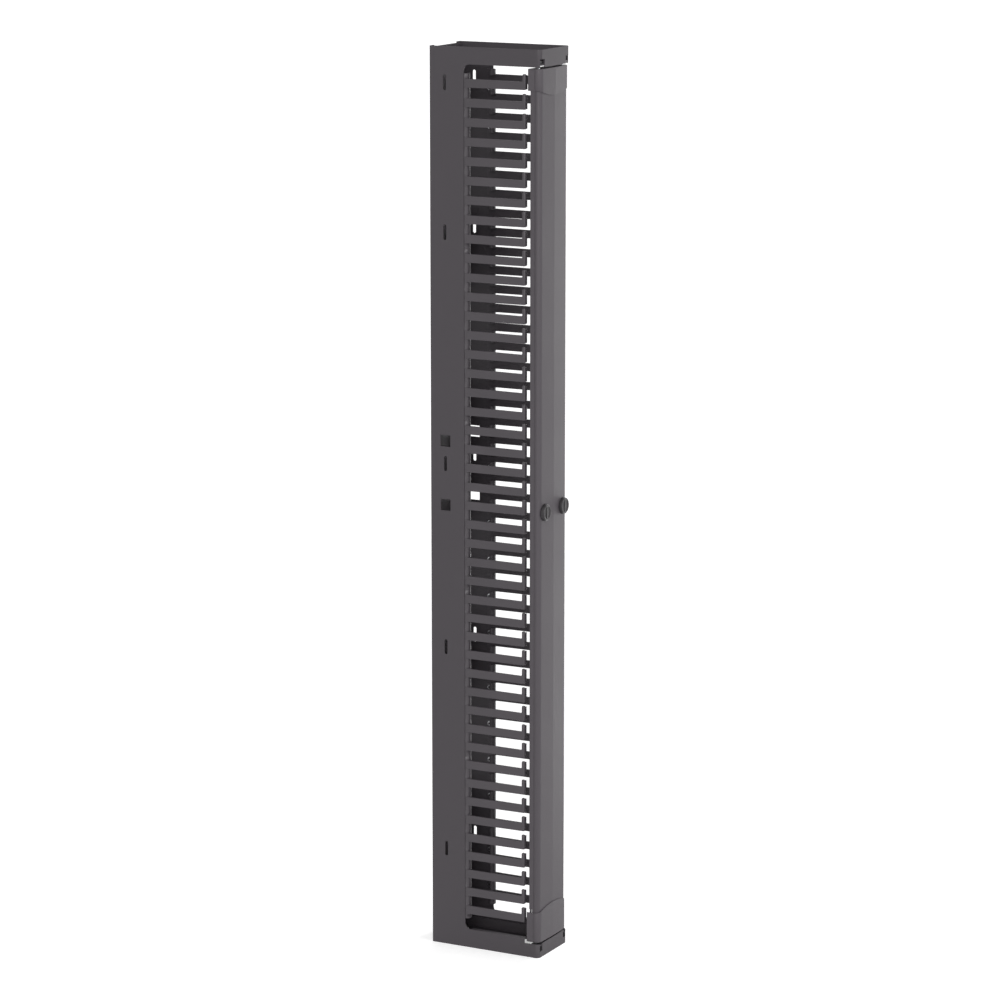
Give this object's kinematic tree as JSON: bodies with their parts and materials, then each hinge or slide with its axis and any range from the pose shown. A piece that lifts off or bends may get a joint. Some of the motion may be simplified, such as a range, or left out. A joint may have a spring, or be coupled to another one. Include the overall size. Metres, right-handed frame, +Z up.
{
  "type": "vertical cable manager",
  "caption": "Tall vertical cable manager: a steel channel with moulded finger combs along both sides and a front door that quarter-turn knobs latch.",
  "frame": {"origin": "centre of the footprint, on the floor under the base", "axes": "+Z up along the manager's height, -Y towards the door, +X to the right seen from the front"},
  "size_m": [0.146, 0.2907, 2.1302],
  "materials": {
    "powder_coat": "satin",
    "finger_plastic": "matte",
    "door_coat": "satin",
    "cap_plastic": "satin",
    "knob_plastic": "satin",
    "bush_plastic": "satin",
    "zinc_plate": "zinc plated"
  },
  "bodies": {
    "frame": {"left_side_panel": "powder_coat", "right_side_panel": "powder_coat", "back_panel": "powder_coat", "top_frame": "powder_coat", "bottom_frame": "powder_coat", "left_fingers_1": "finger_plastic", "left_fingers_2": "finger_plastic", "left_fingers_3": "finger_plastic", "left_fingers_4": "finger_plastic", "left_fingers_5": "finger_plastic", "right_fingers_1": "finger_plastic", "right_fingers_2": "finger_plastic", "right_fingers_3": "finger_plastic", "right_fingers_4": "finger_plastic", "right_fingers_5": "finger_plastic", "comb_nuts": "zinc_plate", "back_screws": "zinc_plate", "hinge_bushes": "bush_plastic"},
    "door": {"door_panel": "door_coat", "door_top_cap": "cap_plastic", "door_bottom_cap": "cap_plastic", "cap_screws": "zinc_plate", "left_latch_bracket": "zinc_plate", "right_latch_bracket": "zinc_plate", "latch_nuts": "zinc_plate", "rod_guides": "bush_plastic", "knob_bushes": "bush_plastic"},
    "left_latch": {"left_knob": "knob_plastic", "left_pinion": "zinc_plate", "left_knob_clip": "zinc_plate"},
    "right_latch": {"right_knob": "knob_plastic", "right_pinion": "zinc_plate", "right_knob_clip": "zinc_plate"},
    "left_upper_pin": {"left_upper_rod": "zinc_plate"},
    "left_lower_pin": {"left_lower_rod": "zinc_plate"},
    "right_upper_pin": {"right_upper_rod": "zinc_plate"},
    "right_lower_pin": {"right_lower_rod": "zinc_plate"}
  },
  "joints": [
    {"name": "door_hinge", "type": "hinge", "parent": "frame", "child": "door", "pos_m": [0.058, -0.1295, 1.062], "axis": [0, 0, 1], "range_deg": [0, 110]},
    {"name": "left_knob_turn", "type": "hinge", "parent": "door", "child": "left_latch", "pos_m": [-0.046, -0.1295, 1.067], "axis": [0, 1, 0], "range_deg": [0, 90]},
    {"name": "right_knob_turn", "type": "hinge", "parent": "door", "child": "right_latch", "pos_m": [0.046, -0.1295, 1.067], "axis": [0, 1, 0], "range_deg": [0, 90]},
    {"name": "left_upper_slide", "type": "slide", "parent": "door", "child": "left_upper_pin", "axis": [0, 0, 1], "range_m": [0, 0.01414]},
    {"name": "left_lower_slide", "type": "slide", "parent": "door", "child": "left_lower_pin", "axis": [0, 0, 1], "range_m": [-0.01414, 0]},
    {"name": "right_upper_slide", "type": "slide", "parent": "door", "child": "right_upper_pin", "axis": [0, 0, 1], "range_m": [-0.01414, 0]},
    {"name": "right_lower_slide", "type": "slide", "parent": "door", "child": "right_lower_pin", "axis": [0, 0, 1], "range_m": [0, 0.01414]}
  ],
  "couplings": [
    {"joint": "left_knob_turn", "follows": "left_upper_slide", "rad_per_m": 111.11},
    {"joint": "left_lower_slide", "follows": "left_upper_slide", "ratio": -1},
    {"joint": "right_knob_turn", "follows": "right_upper_slide", "rad_per_m": -111.11},
    {"joint": "right_lower_slide", "follows": "right_upper_slide", "ratio": -1}
  ]
}
